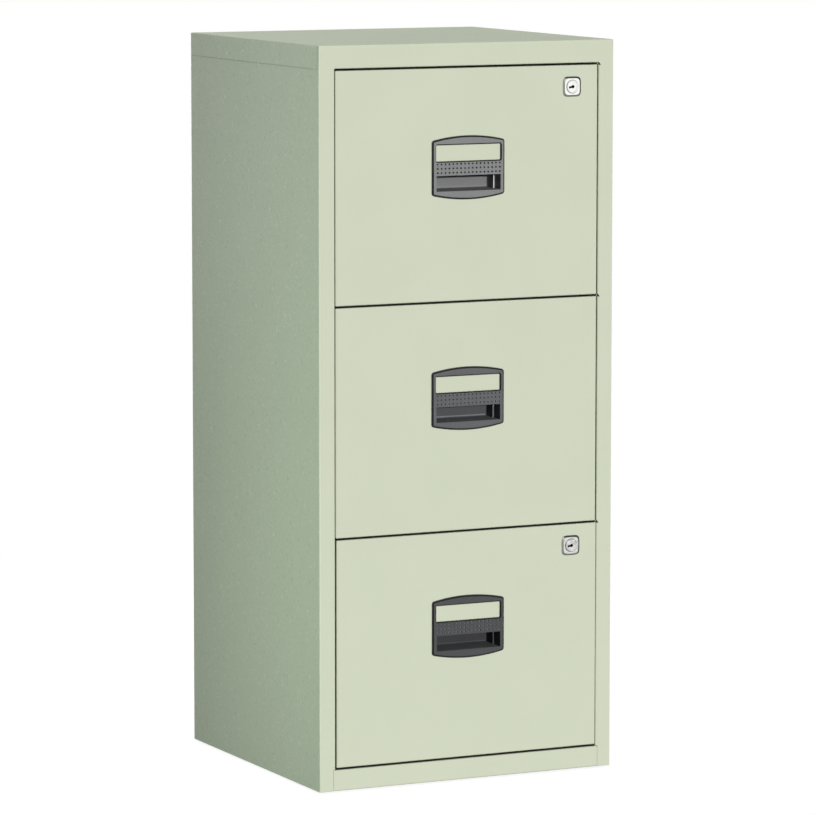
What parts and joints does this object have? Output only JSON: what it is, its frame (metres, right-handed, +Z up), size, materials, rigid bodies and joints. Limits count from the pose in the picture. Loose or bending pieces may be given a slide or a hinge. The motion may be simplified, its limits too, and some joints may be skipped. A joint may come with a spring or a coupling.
{
  "type": "metal filing cabinet",
  "caption": "Free-standing sheet-steel filing cabinet with flush drawers on full-extension slides, recessed moulded handles and cam locks.",
  "frame": {"origin": "middle of the floor under the whole part's box", "axes": "+Z up; the drawer fronts face -Y; +X is to the right of someone facing the drawers"},
  "size_m": [0.413, 0.4034, 0.94],
  "materials": {
    "body_paint": "satin powder coat, pale sage green, fine orange peel",
    "handle_plastic": "moulded, fine satin grain, dark grey",
    "nickel_plate": "bright nickel plate on die-cast zinc",
    "zinc_steel": "bright zinc plated steel",
    "black_nylon": "moulded nylon",
    "rubber": "matt"
  },
  "bodies": {
    "cabinet": {"top_cap": "body_paint", "left_side": "body_paint", "right_side": "body_paint", "back_panel": "body_paint", "base_panel": "body_paint", "bottom_rail": "body_paint", "cross_rails": "body_paint", "front_uprights": "zinc_steel", "rear_uprights": "zinc_steel", "floor_glides": "black_nylon", "buffer_pads": "rubber", "lock_bar_guides": "zinc_steel", "cabinet_slides_1": "zinc_steel", "cabinet_slides_2": "zinc_steel", "cabinet_slides_3": "zinc_steel"},
    "drawer_1": {"drawer_front_1": "body_paint", "front_liner_1": "body_paint", "drawer_tray_1": "body_paint", "drawer_back_1": "body_paint", "handle_1": "handle_plastic", "drawer_screws_1": "zinc_steel", "drawer_slides_1": "zinc_steel", "lock_housing_1": "nickel_plate", "lock_clip_1": "zinc_steel"},
    "drawer_2": {"drawer_front_2": "body_paint", "front_liner_2": "body_paint", "drawer_tray_2": "body_paint", "drawer_back_2": "body_paint", "handle_2": "handle_plastic", "drawer_screws_2": "zinc_steel", "drawer_slides_2": "zinc_steel"},
    "drawer_3": {"drawer_front_3": "body_paint", "front_liner_3": "body_paint", "drawer_tray_3": "body_paint", "drawer_back_3": "body_paint", "handle_3": "handle_plastic", "drawer_screws_3": "zinc_steel", "drawer_slides_3": "zinc_steel", "lock_housing_3": "nickel_plate", "lock_clip_3": "zinc_steel"},
    "middle_slides_1": {"middle_slides_1": "zinc_steel"},
    "middle_slides_2": {"middle_slides_2": "zinc_steel"},
    "middle_slides_3": {"middle_slides_3": "zinc_steel"},
    "outer_cages_1": {"outer_cages_1": "zinc_steel"},
    "outer_cages_2": {"outer_cages_2": "zinc_steel"},
    "outer_cages_3": {"outer_cages_3": "zinc_steel"},
    "inner_cages_1": {"inner_cages_1": "zinc_steel"},
    "inner_cages_2": {"inner_cages_2": "zinc_steel"},
    "inner_cages_3": {"inner_cages_3": "zinc_steel"},
    "lock_1": {"lock_plug_1": "nickel_plate", "lock_cam_1": "zinc_steel", "lock_nut_1": "zinc_steel"},
    "lock_3": {"lock_plug_3": "nickel_plate", "lock_cam_3": "zinc_steel", "lock_nut_3": "zinc_steel"},
    "lock_bar": {"lock_bar": "zinc_steel"}
  },
  "joints": [
    {"name": "drawer_1_pull", "type": "slide", "parent": "cabinet", "child": "drawer_1", "axis": [0, -1, 0], "range_m": [0, 0.345]},
    {"name": "drawer_2_pull", "type": "slide", "parent": "cabinet", "child": "drawer_2", "axis": [0, -1, 0], "range_m": [0, 0.345]},
    {"name": "drawer_3_pull", "type": "slide", "parent": "cabinet", "child": "drawer_3", "axis": [0, -1, 0], "range_m": [0, 0.345]},
    {"name": "middle_slides_1_run", "type": "slide", "parent": "cabinet", "child": "middle_slides_1", "axis": [0, -1, 0], "range_m": [0, 0.1725]},
    {"name": "outer_cages_1_run", "type": "slide", "parent": "cabinet", "child": "outer_cages_1", "axis": [0, -1, 0], "range_m": [0, 0.08625]},
    {"name": "inner_cages_1_run", "type": "slide", "parent": "cabinet", "child": "inner_cages_1", "axis": [0, -1, 0], "range_m": [0, 0.25875]},
    {"name": "middle_slides_2_run", "type": "slide", "parent": "cabinet", "child": "middle_slides_2", "axis": [0, -1, 0], "range_m": [0, 0.1725]},
    {"name": "outer_cages_2_run", "type": "slide", "parent": "cabinet", "child": "outer_cages_2", "axis": [0, -1, 0], "range_m": [0, 0.08625]},
    {"name": "inner_cages_2_run", "type": "slide", "parent": "cabinet", "child": "inner_cages_2", "axis": [0, -1, 0], "range_m": [0, 0.25875]},
    {"name": "middle_slides_3_run", "type": "slide", "parent": "cabinet", "child": "middle_slides_3", "axis": [0, -1, 0], "range_m": [0, 0.1725]},
    {"name": "outer_cages_3_run", "type": "slide", "parent": "cabinet", "child": "outer_cages_3", "axis": [0, -1, 0], "range_m": [0, 0.08625]},
    {"name": "inner_cages_3_run", "type": "slide", "parent": "cabinet", "child": "inner_cages_3", "axis": [0, -1, 0], "range_m": [0, 0.25875]},
    {"name": "lock_1_turn", "type": "hinge", "parent": "drawer_1", "child": "lock_1", "pos_m": [0.1465, -0.19825, 0.8812], "axis": [0, -1, 0], "range_deg": [0, 90]},
    {"name": "lock_3_turn", "type": "hinge", "parent": "drawer_3", "child": "lock_3", "pos_m": [0.1475, -0.19825, 0.2937], "axis": [0, -1, 0], "range_deg": [0, 90]},
    {"name": "lock_bar_lift", "type": "slide", "parent": "cabinet", "child": "lock_bar", "axis": [0, 0, 1], "range_m": [0, 0.012]}
  ],
  "couplings": [
    {"joint": "middle_slides_1_run", "follows": "drawer_1_pull", "ratio": 0.5},
    {"joint": "outer_cages_1_run", "follows": "drawer_1_pull", "ratio": 0.25},
    {"joint": "inner_cages_1_run", "follows": "drawer_1_pull", "ratio": 0.75},
    {"joint": "middle_slides_2_run", "follows": "drawer_2_pull", "ratio": 0.5},
    {"joint": "outer_cages_2_run", "follows": "drawer_2_pull", "ratio": 0.25},
    {"joint": "inner_cages_2_run", "follows": "drawer_2_pull", "ratio": 0.75},
    {"joint": "middle_slides_3_run", "follows": "drawer_3_pull", "ratio": 0.5},
    {"joint": "outer_cages_3_run", "follows": "drawer_3_pull", "ratio": 0.25},
    {"joint": "inner_cages_3_run", "follows": "drawer_3_pull", "ratio": 0.75},
    {"joint": "lock_bar_lift", "follows": "lock_1_turn", "m_per_rad": 0.007639}
  ]
}
